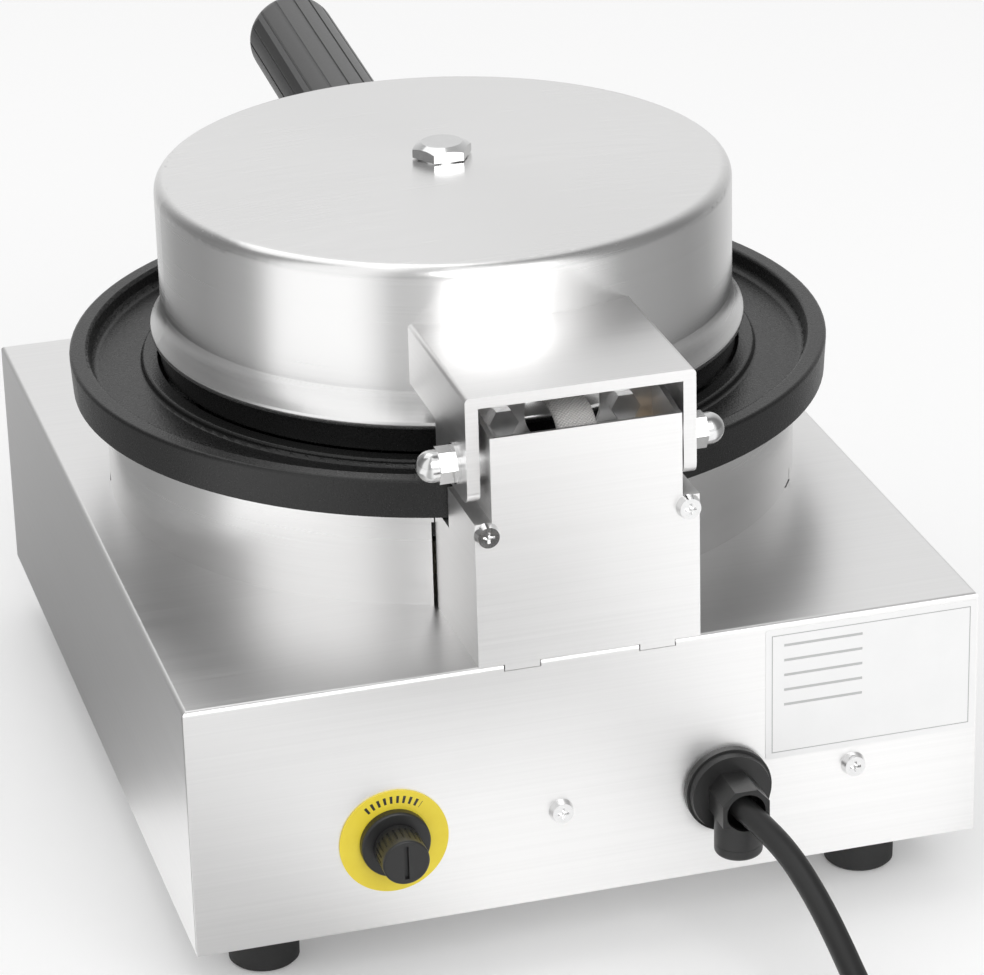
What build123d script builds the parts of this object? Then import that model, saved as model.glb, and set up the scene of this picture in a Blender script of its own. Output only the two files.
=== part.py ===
from build123d import *
import math
import os

os.makedirs("parts", exist_ok=True)

# Driving dimensions, millimetres. +Z up, the front faces -Y, z = 0 is the table.
body_w, body_d, body_h = 250.0, 304.0, 82.0
foot_h, foot_r = 21.0, 11.0
sheet = 1.0
fold_r = 1.5
rear = 175.5
plate_inset = 154.0
lid_r, lid_rise, lid_crown = 93.2, 103.4, 3.0
pan_r, pan_top_rise = 123.8, 46.5
drum_r, drum_rise = 113.0, 34.0
pivot_inset, pivot_rise = 16.0, 60.4

# Levels and places worked out from them
front = rear - body_d
mid_y = (front + rear) / 2
plate_y = rear - plate_inset
top = foot_h + body_h
pan_top = top + pan_top_rise
drum_top = top + drum_rise
lid_top = top + lid_rise
pivot_y, pivot_z = rear - pivot_inset, top + pivot_rise
plate_axis = Axis((0, plate_y, 0), (0, 0, 1))
side_view = Plane(origin=(0, plate_y, 0), x_dir=(1, 0, 0), z_dir=(0, -1, 0))

# Waffle plates: floor of the pockets, studs and the line where the plates meet
parting = top + 43.0
pocket_depth = 14.0
stud_h, stud_base, stud_pitch, stud_taper = 11.7, 14.0, 22.0, 8.0
stud_reach = 88.0
plate_back = 8.0
lower_floor = parting - pocket_depth
upper_floor = parting + pocket_depth
lower_back = lower_floor - plate_back
upper_back = upper_floor + plate_back
rest_gap = 0.3

# Hinge
arm_t, arm_plate_t, arm_half, arm_top = 4.0, 3.5, 35.5, top + 85.1
arm_rear, leg_front = rear - 4.6, rear - 38.5
leg_bottom, arm_under = top + 51.0, top + 65.6
leg_corner_r = 4.0
column_half, neck_half, column_t = 34.8, 29.5, 1.5
shoulder_z, neck_top = top + 46.9, top + 73.7
neck_front = rear - 25.5
spindle_r, running = 3.0, 0.05

# Lead sleeve between lid and base
sleeve_w, sleeve_t, sleeve_y, sleeve_low = 13.0, 6.0, rear - 7.5, top - 9.0

# Rear fittings
fitting_z = top - 53.0
reset_x, gland_x = 62.9, -43.0
bracket_screw_x = (10.2, -84.3)

# Front controls
control_z = top - 41.0
switch_x, knob_x, lamp_x = -78.0, 66.0, (-30.0, 4.0)

# Handle, rising a little towards its end
handle_rise_deg = 5.0
handle_z = top + 73.2
grip_r, grip_start, grip_end = 16.0, 24.0, 123.4

# Supply cord: 7.8 mm three-core lead with the length that isn't laid out wound in a coil
cord_d = 7.8
cord_r = cord_d / 2
floor_z = cord_r + 0.05
cord_route = [
    (-40.5, 185.0, 52.0),
    (-46.0, 197.0, 48.0),
    (-51.5, 208.2, 42.2),
    (-55.5, 219.5, 33.8),
    (-58.0, 231.0, 25.6),
    (-59.6, 246.0, 16.5),
    (-61.0, 263.0, 8.8),
    (-62.0, 281.0, floor_z),
    (-62.0, 405.0, floor_z),
]
coil_outer_r, coil_step = 57.0, 8.3
coil_halves_in, coil_halves_out = 6, 5
coil_lead_in, coil_lead_out = cord_d, 34.0
coil_reverse_inset = 1.3
plug_w, plug_l, plug_h = 50.0, 48.0, 24.0


def finish(builder, label):
    """Names a finished piece and writes its file."""
    builder.part.label = label
    export_step(builder.part, f"parts/{label}.step")


def facing_rear(x, y, z):
    """A plane at a place on the back, looking out along +Y."""
    return Plane(origin=(x, y, z), x_dir=(-1, 0, 0), z_dir=(0, 1, 0))


def facing_front(x, y, z):
    """A plane at a place on the front, looking out along -Y."""
    return Plane(origin=(x, y, z), x_dir=(1, 0, 0), z_dir=(0, -1, 0))


def stud_places():
    """Centres of the studs that stand wholly inside the round plate."""
    steps = [(i + 0.5) * stud_pitch for i in range(-4, 4)]
    corner = stud_base / 2
    return [
        (x, plate_y + y)
        for x in steps
        for y in steps
        if math.hypot(abs(x) + corner, abs(y) + corner) < stud_reach
    ]


# Housing: one folded sheet, open below, with slit rear corners
corner_slit, relief_r = 0.8, 1.6
lip_w = 12.0
tab_x, tab_w, tab_drop = 21.2, 11.0, 2.2
drum_hole_r = 105.0
slot_angles = (-12.0, 150.0, 247.0)
slot_l, slot_tab_l = 7.0, 5.0
foot_x, foot_inset = 98.2, 30.4
switch_w, switch_h = 20.0, 27.0
lamp_hole_r, bush_hole_r = 5.2, 5.2
reset_hole_r, gland_hole_r, screw_hole_r = 6.2, 10.2, 1.7
column_screw_x, column_screw_z = 31.2, top + 43.3

with BuildPart() as housing:
    with BuildSketch(Plane.XY.offset(foot_h)):
        with Locations((0, mid_y)):
            Rectangle(body_w, body_d)
    extrude(amount=body_h)
    fillet(housing.edges().group_by(Axis.Z)[-1], fold_r)
    offset(amount=-sheet, openings=housing.faces().sort_by(Axis.Z)[0])
    with BuildSketch(Plane.XY.offset(foot_h)):
        with Locations((0, mid_y)):
            Rectangle(body_w, body_d)
            Rectangle(body_w - 2 * lip_w, body_d - 2 * lip_w, mode=Mode.SUBTRACT)
    extrude(amount=sheet)
    with BuildSketch(Plane.XY.offset(top - 2 * fold_r)):
        with Locations((0, plate_y)):
            Circle(drum_hole_r)
        with Locations((0, sleeve_y)):
            Rectangle(sleeve_w + 4, sleeve_t + 2)
    extrude(amount=2 * fold_r, mode=Mode.SUBTRACT)
    with BuildSketch(Plane.XY.offset(top - 2 * fold_r)):
        for angle in slot_angles:
            with Locations(Location((0, plate_y)) * Location((0, 0), angle)):
                with Locations((drum_r - sheet / 2, 0)):
                    Rectangle(sheet + 0.4, slot_l)
    extrude(amount=2 * fold_r, mode=Mode.SUBTRACT)
    with BuildSketch(Plane.XY.offset(foot_h + sheet)):
        for side in (-1, 1):
            with Locations((side * body_w / 2, rear - sheet - corner_slit / 2)):
                Rectangle(3 * sheet, corner_slit)
    extrude(amount=body_h - sheet - fold_r, mode=Mode.SUBTRACT)
    for side in (-1, 1):
        with BuildSketch(Plane.YZ.offset(side * body_w / 2)):
            with Locations((rear - sheet - corner_slit / 2, top - fold_r - relief_r)):
                Circle(relief_r / 2)
        extrude(amount=2 * sheet, both=True, mode=Mode.SUBTRACT)
    with BuildSketch(facing_rear(0, rear - 3 * sheet, 0)):
        with Locations((-tab_x, top), (tab_x, top)):
            Rectangle(tab_w + 0.6, 2 * tab_drop)
        with Locations((-reset_x, fitting_z)):
            Circle(reset_hole_r)
        with Locations((-gland_x, fitting_z)):
            Circle(gland_hole_r)
        with Locations(*[(-x, fitting_z + 1) for x in bracket_screw_x]):
            Circle(screw_hole_r)
    extrude(amount=4 * sheet, mode=Mode.SUBTRACT)
    with BuildSketch(facing_front(0, front + 2 * sheet, 0)):
        with Locations((switch_x, control_z)):
            Rectangle(switch_w + 0.4, switch_h + 0.4)
        with Locations((knob_x, control_z)):
            Circle(bush_hole_r)
        with Locations(*[(x, control_z) for x in lamp_x]):
            Circle(lamp_hole_r)
    extrude(amount=3 * sheet, mode=Mode.SUBTRACT)
    with BuildSketch(Plane.XY.offset(foot_h - 1)):
        with Locations((0, mid_y)):
            with GridLocations(body_w - lip_w, body_d / 2 - 20, 2, 3):
                Circle(screw_hole_r)
    extrude(amount=3, mode=Mode.SUBTRACT)
finish(housing, "housing")

# Bottom cover, lying on the housing's lip, with vent slots
vent_rows, vent_l, vent_w, vent_pitch = 8, 60.0, 4.0, 12.0
with BuildPart() as bottom_cover:
    with BuildSketch(Plane.XY.offset(foot_h + sheet)):
        with Locations((0, mid_y)):
            Rectangle(body_w - 2 * sheet - 1, body_d - 2 * sheet - 1)
            with GridLocations(vent_l + 20, vent_pitch, 2, vent_rows):
                SlotOverall(vent_l, vent_w, mode=Mode.SUBTRACT)
            with GridLocations(body_w - lip_w, body_d / 2 - 20, 2, 3):
                Circle(screw_hole_r, mode=Mode.SUBTRACT)
            with GridLocations(2 * foot_x, body_d - 2 * foot_inset, 2, 2):
                Circle(screw_hole_r, mode=Mode.SUBTRACT)
    extrude(amount=sheet)
finish(bottom_cover, "bottom_cover")

# Rubber feet with a recess for the screw head
foot_recess_r, foot_web = 5.0, 4.0
with BuildPart() as feet:
    for x in (-foot_x, foot_x):
        for y in (front + foot_inset, rear - foot_inset):
            with BuildSketch(Plane.XY):
                with Locations((x, y)):
                    Circle(foot_r)
            extrude(amount=foot_h + sheet, taper=-1.5)
    chamfer(feet.edges().filter_by(GeomType.CIRCLE).group_by(Axis.Z)[0], 0.8)
    for x in (-foot_x, foot_x):
        for y in (front + foot_inset, rear - foot_inset):
            with BuildSketch(Plane.XY):
                with Locations((x, y)):
                    Circle(foot_recess_r)
            extrude(amount=foot_h + sheet - foot_web, mode=Mode.SUBTRACT)
            with BuildSketch(Plane.XY):
                with Locations((x, y)):
                    Circle(screw_hole_r)
            extrude(amount=foot_h + sheet, mode=Mode.SUBTRACT)
finish(feet, "feet")

# The same pan-head screw holds the feet and the bottom cover
head_r, head_h, shank_r = 3.9, 2.5, 1.6
with BuildPart() as base_screws:
    spots = [(x, y, foot_h + sheet - foot_web, 9.0) for x in (-foot_x, foot_x)
             for y in (front + foot_inset, rear - foot_inset)]
    spots += [(side * (body_w - lip_w) / 2, mid_y + row * (body_d / 2 - 20), foot_h, 6.0)
              for side in (-1, 1) for row in (-1, 0, 1)]
    for x, y, z, shank in spots:
        with BuildSketch(Plane.XY.offset(z - head_h)):
            with Locations((x, y)):
                Circle(head_r)
        extrude(amount=head_h)
        with BuildSketch(Plane.XY.offset(z)):
            with Locations((x, y)):
                Circle(shank_r)
        extrude(amount=shank)
finish(base_screws, "base_screws")

# Drum: rolled sheet that carries the pan, open at the back where the hinge column stands
drum_gap_half, drum_gap_top = column_half + 0.9, top + 28.0
slit_w, slit_h = 0.8, 4.0
with BuildPart() as drum:
    with BuildSketch(Plane.XY.offset(top)):
        with Locations((0, plate_y)):
            Circle(drum_r)
            Circle(drum_r - sheet, mode=Mode.SUBTRACT)
    extrude(amount=drum_rise)
    with BuildSketch(Plane.XY.offset(top)):
        with Locations((0, plate_y + drum_r)):
            Rectangle(2 * drum_gap_half, 60)
    extrude(amount=drum_gap_top - top, mode=Mode.SUBTRACT)
    with BuildSketch(Plane.XY.offset(top)):
        with Locations((0, plate_y + drum_r)):
            Rectangle(2 * column_half + 0.2, 60)
    extrude(amount=drum_rise, mode=Mode.SUBTRACT)
    for angle in slot_angles:
        with BuildSketch(Plane.XY.offset(top)):
            with Locations(Location((0, plate_y)) * Location((0, 0), angle)):
                with Locations((drum_r, slot_tab_l / 2 + slit_w)):
                    Rectangle(4 * sheet, slit_w)
        extrude(amount=slit_h, mode=Mode.SUBTRACT)
    with BuildSketch(Plane.XY.offset(top - 3 * sheet)):
        for angle in slot_angles:
            with Locations(Location((0, plate_y)) * Location((0, 0), angle)):
                with Locations((drum_r - sheet / 2, 0)):
                    Rectangle(sheet - 0.1, slot_tab_l)
    extrude(amount=4 * sheet)
finish(drum, "drum")

# Pan: cast lower waffle plate with its overflow gutter and rim
rim_in_r, gutter_out_r, gutter_z = 117.7, 116.5, top + 40.6
ring_r, ring_in_r, pocket_r = 100.3, 95.0, 93.0
pan_base_r, bolt_r = 108.0, 4.0
rim_round, ring_round, gutter_round, ring_in_round = 1.2, 1.1, 2.5, 0.6
with BuildPart() as pan:
    with BuildSketch(side_view):
        with BuildLine():
            Polyline(
                (0, lower_back), (pan_base_r, lower_back), (pan_base_r, drum_top),
                (pan_r - 0.7, drum_top), (pan_r, pan_top), (rim_in_r, pan_top),
                (gutter_out_r, gutter_z), (ring_r, gutter_z), (ring_r, parting),
                (ring_in_r, parting), (pocket_r, lower_floor), (0, lower_floor), close=True,
            )
        make_face()
    revolve(axis=plate_axis)
    fillet(pan.edges().filter_by(GeomType.CIRCLE).group_by(Axis.Z)[-1], rim_round)
    for radius, rounding in ((ring_r, ring_round), (gutter_out_r, gutter_round), (ring_in_r, ring_in_round)):
        at_radius = [e for e in pan.edges().filter_by(GeomType.CIRCLE) if abs(e.radius - radius) < 0.01]
        fillet(at_radius, rounding)
    with BuildSketch(Plane.XY.offset(lower_floor)):
        with Locations(*stud_places()):
            Rectangle(stud_base, stud_base)
    extrude(amount=stud_h, taper=stud_taper)
    with BuildSketch(Plane.XY.offset(lower_back)):
        with Locations((0, plate_y)):
            Circle(bolt_r)
    extrude(amount=5, mode=Mode.SUBTRACT)
finish(pan, "pan")

# Heating elements: a round tube bent to a ring with two upright terminals
element_r, element_tube_r, element_pin_r = 62.0, 4.0, 3.0
element_gap_deg, element_pin_l = 24.0, 14.0


def element(centre_z, up):
    """A ring of tube lying at a level, its terminals pointing up or down."""
    with BuildPart() as ring:
        with BuildLine() as path:
            CenterArc((0, plate_y, centre_z), element_r, 90 + element_gap_deg / 2, 360 - element_gap_deg)
        with BuildSketch(path.line ^ 0):
            Circle(element_tube_r)
        sweep()
        reach = up * element_pin_l
        for end in (0, 1):
            spot = path.line @ end
            with BuildSketch(Plane.XY.offset(centre_z)):
                with Locations((spot.X, spot.Y)):
                    Circle(element_pin_r)
            extrude(amount=reach)
    return ring


lower_element = element(lower_back - element_tube_r - 0.1, -1)
finish(lower_element, "lower_element")
upper_element = element(upper_back + element_tube_r + 0.1, 1)
finish(upper_element, "upper_element")

# Pressed discs that hold the elements against the plates
clamp_r, clamp_t, clamp_gap = 80.0, 2.0, 2 * element_tube_r + 0.4
pin_x = element_r * math.sin(math.radians(element_gap_deg / 2))
pin_y = plate_y + element_r * math.cos(math.radians(element_gap_deg / 2))
pin_hole_r = 5.0
nut_ring_r, nut_angles = 35.0, (30.0, 150.0, 270.0)
nut_places = [
    (nut_ring_r * math.cos(math.radians(a)), plate_y + nut_ring_r * math.sin(math.radians(a)))
    for a in nut_angles
]
stud_r = 3.0
lower_clamp_z = lower_back - clamp_gap - clamp_t
upper_clamp_z = upper_back + clamp_gap
with BuildPart() as lower_clamp:
    with BuildSketch(Plane.XY.offset(lower_clamp_z)):
        with Locations((0, plate_y)):
            Circle(clamp_r)
            Circle(bolt_r, mode=Mode.SUBTRACT)
        with Locations((-pin_x, pin_y), (pin_x, pin_y)):
            Circle(pin_hole_r, mode=Mode.SUBTRACT)
    extrude(amount=clamp_t)
finish(lower_clamp, "lower_clamp")

lid_shank_r = 5.0
with BuildPart() as upper_clamp:
    with BuildSketch(Plane.XY.offset(upper_clamp_z)):
        with Locations((0, plate_y)):
            Circle(clamp_r)
            Circle(lid_shank_r, mode=Mode.SUBTRACT)
        with Locations((-pin_x, pin_y), (pin_x, pin_y)):
            Circle(pin_hole_r, mode=Mode.SUBTRACT)
        with Locations(*nut_places):
            Circle(stud_r, mode=Mode.SUBTRACT)
    extrude(amount=clamp_t)
finish(upper_clamp, "upper_clamp")

# Heat shield under the drum, and mineral-wool discs
shield_r, shield_z = 112.0, top - 2 * sheet
wool_gap = 0.3
capillary_x, capillary_y = 48.0, plate_y - 88.0
with BuildPart() as heat_shield:
    with BuildSketch(Plane.XY.offset(shield_z)):
        with Locations((0, plate_y)):
            Circle(shield_r)
            Circle(bolt_r, mode=Mode.SUBTRACT)
        with Locations((-pin_x, pin_y), (pin_x, pin_y)):
            Circle(pin_hole_r, mode=Mode.SUBTRACT)
        with Locations((capillary_x, capillary_y)):
            Circle(2.5, mode=Mode.SUBTRACT)
        for angle in slot_angles:
            with Locations(Location((0, plate_y)) * Location((0, 0), angle)):
                with Locations((drum_r - sheet / 2, 0)):
                    Rectangle(8.0, 13.0, mode=Mode.SUBTRACT)
    extrude(amount=sheet)
finish(heat_shield, "heat_shield")

lower_wool_r, upper_wool_r, upper_wool_t = 88.0, 84.0, 14.0
with BuildPart() as lower_insulation:
    with BuildSketch(Plane.XY.offset(shield_z + sheet)):
        with Locations((0, plate_y)):
            Circle(lower_wool_r)
            Circle(bolt_r + 0.5, mode=Mode.SUBTRACT)
        with Locations((-pin_x, pin_y), (pin_x, pin_y)):
            Circle(pin_hole_r, mode=Mode.SUBTRACT)
    extrude(amount=lower_clamp_z - shield_z - sheet - wool_gap)
finish(lower_insulation, "lower_insulation")

nut_clear_r = 7.0
with BuildPart() as upper_insulation:
    with BuildSketch(Plane.XY.offset(upper_clamp_z + clamp_t + wool_gap)):
        with Locations((0, plate_y)):
            Circle(upper_wool_r)
            Circle(lid_shank_r + 0.5, mode=Mode.SUBTRACT)
        with Locations((-pin_x, pin_y), (pin_x, pin_y)):
            Circle(pin_hole_r, mode=Mode.SUBTRACT)
        with Locations(*nut_places):
            Circle(nut_clear_r, mode=Mode.SUBTRACT)
    extrude(amount=upper_wool_t)
finish(upper_insulation, "upper_insulation")

# Bolt that pulls the lower clamp and the shield up to the pan
with BuildPart() as clamp_bolt:
    with BuildSketch(Plane.XY.offset(shield_z - 5.5)):
        with Locations((0, plate_y)):
            RegularPolygon(6.5, 6, major_radius=False)
    extrude(amount=5.5)
    with BuildSketch(Plane.XY.offset(shield_z)):
        with Locations((0, plate_y)):
            Circle(bolt_r)
    extrude(amount=lower_back + 4.5 - shield_z)
finish(clamp_bolt, "clamp_bolt")

# Studs with nuts that hold the upper clamp to the upper plate
with BuildPart() as upper_nuts:
    for x, y in nut_places:
        with BuildSketch(Plane.XY.offset(upper_back)):
            with Locations((x, y)):
                Circle(stud_r)
        extrude(amount=upper_clamp_z + clamp_t + 7 - upper_back)
        with BuildSketch(Plane.XY.offset(upper_clamp_z + clamp_t)):
            with Locations((x, y)):
                RegularPolygon(5.0, 6, major_radius=False)
        extrude(amount=5)
finish(upper_nuts, "upper_nuts")

# Upper waffle plate
upper_rim_r, upper_rim_in_r, upper_neck_r = 94.2, 90.0, 90.5
upper_step_z = top + 52.0
with BuildPart() as upper_plate:
    with BuildSketch(side_view):
        with BuildLine():
            Polyline(
                (0, upper_back), (upper_neck_r, upper_back), (upper_neck_r, upper_step_z),
                (upper_rim_r, upper_step_z), (upper_rim_r, parting + rest_gap),
                (upper_rim_in_r, parting + rest_gap), (upper_rim_in_r - 2, upper_floor),
                (0, upper_floor), close=True,
            )
        make_face()
    revolve(axis=plate_axis)
    with BuildSketch(Plane.XY.offset(upper_floor)):
        with Locations(*stud_places()):
            Rectangle(stud_base, stud_base)
    extrude(amount=-stud_h, taper=stud_taper)
finish(upper_plate, "upper_plate")

# Lid shell: spun drum with a flared lip
lip_r, lip_z, lip_curl, flare_z, lid_edge_r = 96.8, top + 51.4, 2.6, top + 63.0, 4.5
sleeve_z, sleeve_hole_r = top + 73.0, 7.5
handle_rod_r = 4.0


def lid_outline(inset):
    """Half section of the shell from the axis to the lip, moved inwards by an inset."""
    crown_mid = (lid_r - lid_edge_r) / 2
    wall, edge_top = lid_r - inset, lid_top - inset
    shoulder = lid_r - lid_edge_r
    ThreePointArc((0, edge_top + lid_crown), (crown_mid, edge_top + 0.75 * lid_crown), (shoulder, edge_top))
    RadiusArc((shoulder, edge_top), (wall, lid_top - lid_edge_r), lid_edge_r - inset)
    Line((wall, lid_top - lid_edge_r), (wall, flare_z))
    TangentArc((wall, flare_z), (lip_r - inset, lip_z + lip_curl), tangent=(0, -1))
    curl_mid = (lip_r + 0.25 - inset, lip_z + lip_curl / 2)
    ThreePointArc((lip_r - inset, lip_z + lip_curl), curl_mid, (lip_r - 0.6 - inset, lip_z))


with BuildPart() as lid_shell:
    with BuildSketch(side_view):
        with BuildLine():
            lid_outline(0)
            lid_outline(sheet)
            Line((lip_r - 0.6, lip_z), (lip_r - 0.6 - sheet, lip_z))
            Line((0, lid_top + lid_crown), (0, lid_top + lid_crown - sheet))
        make_face()
    revolve(axis=plate_axis)
    with BuildSketch(Plane.XY.offset(lid_top - 2 * sheet)):
        with Locations((0, plate_y)):
            Circle(lid_shank_r + 0.5)
    extrude(amount=3 * sheet + lid_crown, mode=Mode.SUBTRACT)
    with BuildSketch(facing_rear(0, plate_y + lid_r - 6, sleeve_z)):
        Circle(sleeve_hole_r)
    extrude(amount=10, mode=Mode.SUBTRACT)
    with BuildSketch(facing_front(0, plate_y - lid_r + 6, handle_z)):
        Circle(handle_rod_r + 0.3)
    extrude(amount=10, mode=Mode.SUBTRACT)
finish(lid_shell, "lid_shell")

# Centre bolt of the lid
bolt_head_af, bolt_head_h, bolt_corner_h, bolt_face_r = 17.0, 4.8, 3.0, 6.6
bolt_washer_h = 0.4
bolt_seat = lid_top + lid_crown
with BuildPart() as lid_bolt:
    with BuildSketch(Plane.XY.offset(bolt_seat + bolt_washer_h)):
        with Locations((0, plate_y)):
            RegularPolygon(bolt_head_af / 2, 6, major_radius=False)
    extrude(amount=bolt_head_h - bolt_washer_h)
    with BuildSketch(Plane.XY.offset(bolt_seat)):
        with Locations((0, plate_y)):
            Circle(bolt_head_af / 2 - 0.5)
    extrude(amount=bolt_washer_h)
    with BuildSketch(side_view, mode=Mode.PRIVATE) as head_cone:
        with BuildLine():
            Polyline(
                (0, bolt_seat), (bolt_head_af, bolt_seat), (bolt_head_af, bolt_seat + 0.2),
                (bolt_head_af * 0.58, bolt_seat + bolt_corner_h), (bolt_face_r, bolt_seat + bolt_head_h),
                (0, bolt_seat + bolt_head_h), close=True,
            )
        make_face()
    revolve(head_cone.sketch, axis=plate_axis, mode=Mode.INTERSECT)
    with BuildSketch(Plane.XY.offset(upper_clamp_z)):
        with Locations((0, plate_y)):
            Circle(lid_shank_r)
    extrude(amount=bolt_seat - upper_clamp_z)
finish(lid_bolt, "lid_bolt")

# Lid arm: welded bracket that runs from the lid back over the column
with BuildPart() as lid_arm:
    with BuildSketch(Plane.YZ.offset(-arm_half)):
        with BuildLine():
            Polyline(
                (plate_y + 40, arm_top), (arm_rear, arm_top), (arm_rear, leg_bottom),
                (leg_front, leg_bottom), (leg_front, arm_under), (plate_y + 40, arm_under), close=True,
            )
        make_face()
    extrude(amount=2 * arm_half)
    legs = lid_arm.edges().filter_by(Axis.X).group_by(Axis.Z)[0]
    fillet(legs.sort_by(Axis.Y)[-1], leg_corner_r)
    fillet(lid_arm.edges().filter_by(Axis.Y).group_by(Axis.Z)[-1], fold_r)
    with BuildSketch(Plane.XY.offset(leg_bottom - 1)):
        with Locations((0, plate_y + 100)):
            Rectangle(2 * (arm_half - arm_t), 200)
    extrude(amount=arm_top - arm_plate_t - leg_bottom + 1, mode=Mode.SUBTRACT)
    with BuildSketch(Plane.XY.offset(leg_bottom - 1)):
        with Locations((0, plate_y)):
            Circle(lid_r)
    extrude(amount=arm_top - leg_bottom + 2, mode=Mode.SUBTRACT)
    with BuildSketch(Plane.YZ.offset(-arm_half - 1)):
        with Locations((pivot_y, pivot_z)):
            Circle(spindle_r)
    extrude(amount=2 * arm_half + 2, mode=Mode.SUBTRACT)
finish(lid_arm, "lid_arm")

# Spindle, fast in the arm, with a domed nut and washer at each end
nut_af, nut_h, dome_tip, washer_t, washer_r = 10.0, 5.0, 47.9, 1.0, 6.2
with BuildPart() as spindle:
    with BuildSketch(Plane.YZ.offset(-dome_tip + 4)):
        with Locations((pivot_y, pivot_z)):
            Circle(spindle_r)
    extrude(amount=2 * (dome_tip - 4))
finish(spindle, "spindle")

dome_r = 4.9
with BuildPart() as cap_nuts:
    for side in (-1, 1):
        start = side * arm_half
        with BuildSketch(Plane.YZ.offset(start)):
            with Locations((pivot_y, pivot_z)):
                Circle(washer_r)
        extrude(amount=side * washer_t)
        with BuildSketch(Plane.YZ.offset(start + side * washer_t)):
            with Locations((pivot_y, pivot_z)):
                RegularPolygon(nut_af / 2, 6, major_radius=False)
        extrude(amount=side * nut_h)
        nut_face = start + side * (washer_t + nut_h)
        neck = dome_tip - abs(nut_face) - dome_r
        with BuildSketch(Plane.YZ.offset(nut_face)):
            with Locations((pivot_y, pivot_z)):
                Circle(dome_r)
        extrude(amount=side * neck)
        with Locations((nut_face + side * neck, pivot_y, pivot_z)):
            Sphere(dome_r)
        with BuildSketch(Plane.YZ.offset(start)):
            with Locations((pivot_y, pivot_z)):
                Circle(spindle_r)
        extrude(amount=side * (dome_tip - 4 - arm_half), mode=Mode.SUBTRACT)
finish(cap_nuts, "cap_nuts")

# Hinge column: folded sheet, wide below and narrow between the arm's legs
column_front, step_front, rim_clear_z = rear - 45.3, rear - 29.4, drum_top - 0.5
back = rear - sheet
lead_hole_r = 12.0
wall_top_front = top + 78.2
with BuildPart() as column:
    for side in (-1, 1):
        with BuildSketch(Plane.YZ.offset(side * column_half)):
            with BuildLine():
                Polyline(
                    (column_front, top), (back, top), (back, shoulder_z), (step_front, shoulder_z),
                    (step_front, rim_clear_z), (column_front, rim_clear_z), close=True,
                )
            make_face()
        extrude(amount=-side * column_t)
        with BuildSketch(Plane.YZ.offset(side * neck_half)):
            with BuildLine():
                Polyline(
                    (neck_front, shoulder_z - column_t), (back, shoulder_z - column_t),
                    (back, neck_top), (neck_front, neck_top + 3), close=True,
                )
            make_face()
        extrude(amount=-side * column_t)
        flange_x = side * (column_half + neck_half - column_t) / 2
        with BuildSketch(Plane.XY.offset(shoulder_z - column_t)):
            with Locations((flange_x, (step_front + back) / 2)):
                Rectangle(column_half - neck_half + column_t, back - step_front)
        extrude(amount=column_t)
        with BuildSketch(facing_rear(0, back - column_t, 0)):
            with Locations((-side * (column_half - 5), shoulder_z - 10)):
                Rectangle(10, 20)
        extrude(amount=column_t)
    with BuildSketch(facing_rear(0, neck_front, 0)):
        with Locations((0, (shoulder_z - column_t + wall_top_front) / 2)):
            Rectangle(2 * neck_half, wall_top_front - shoulder_z + column_t)
    extrude(amount=column_t)
    with BuildSketch(facing_rear(0, neck_front - 1, 0)):
        with Locations((0, sleeve_z - 3)):
            Circle(lead_hole_r)
        with Locations((-19, top + 68.4), (19, top + 68.4)):
            Circle(2.5)
    extrude(amount=column_t + 2, mode=Mode.SUBTRACT)
    with BuildSketch(Plane.YZ.offset(-neck_half - 1)):
        with Locations((pivot_y, pivot_z)):
            Circle(4.8)
    extrude(amount=2 * neck_half + 2, mode=Mode.SUBTRACT)
    with BuildSketch(facing_rear(0, back - 3, 0)):
        with Locations((-column_screw_x, column_screw_z), (column_screw_x, column_screw_z)):
            Circle(screw_hole_r)
    extrude(amount=4, mode=Mode.SUBTRACT)
finish(column, "column")

# Two bolts with hex heads through the column's front wall
with BuildPart() as column_bolts:
    for x in (-19, 19):
        with BuildSketch(facing_rear(x, neck_front + column_t, top + 68.4)):
            RegularPolygon(4.0, 6, major_radius=False)
        extrude(amount=2.6)
        with BuildSketch(facing_rear(x, neck_front - 4, top + 68.4)):
            Circle(2.4)
        extrude(amount=4 + column_t)
finish(column_bolts, "column_bolts")

# Flat rear cover of the column, with two tabs that drop into the housing
with BuildPart() as column_cover:
    with BuildSketch(facing_rear(0, back, 0)):
        with BuildLine():
            Polyline(
                (-column_half, top), (column_half, top), (column_half, shoulder_z),
                (neck_half, shoulder_z), (neck_half, neck_top), (-neck_half, neck_top),
                (-neck_half, shoulder_z), (-column_half, shoulder_z), close=True,
            )
        make_face()
        with Locations((-tab_x, top - tab_drop / 2 + 0.1), (tab_x, top - tab_drop / 2 + 0.1)):
            Rectangle(tab_w, tab_drop - 0.1)
        with Locations((-column_screw_x, column_screw_z), (column_screw_x, column_screw_z)):
            Circle(screw_hole_r, mode=Mode.SUBTRACT)
    extrude(amount=sheet)
finish(column_cover, "column_cover")

# The same screw holds the column cover and the bracket behind the back
with BuildPart() as panel_screws:
    spots = [(-column_screw_x, column_screw_z), (column_screw_x, column_screw_z)]
    spots += [(x, fitting_z + 1) for x in bracket_screw_x]
    for x, z in spots:
        with BuildSketch(facing_rear(x, rear - 7, z)):
            Circle(shank_r)
        extrude(amount=7)
        with BuildSketch(facing_rear(x, rear, z)):
            Circle(head_r)
        extrude(amount=head_h, taper=14)
        with BuildSketch(facing_rear(x, rear + head_h, z)):
            Rectangle(3.6, 0.9)
            Rectangle(0.9, 3.6)
        extrude(amount=-1.4, mode=Mode.SUBTRACT)
finish(panel_screws, "panel_screws")

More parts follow.
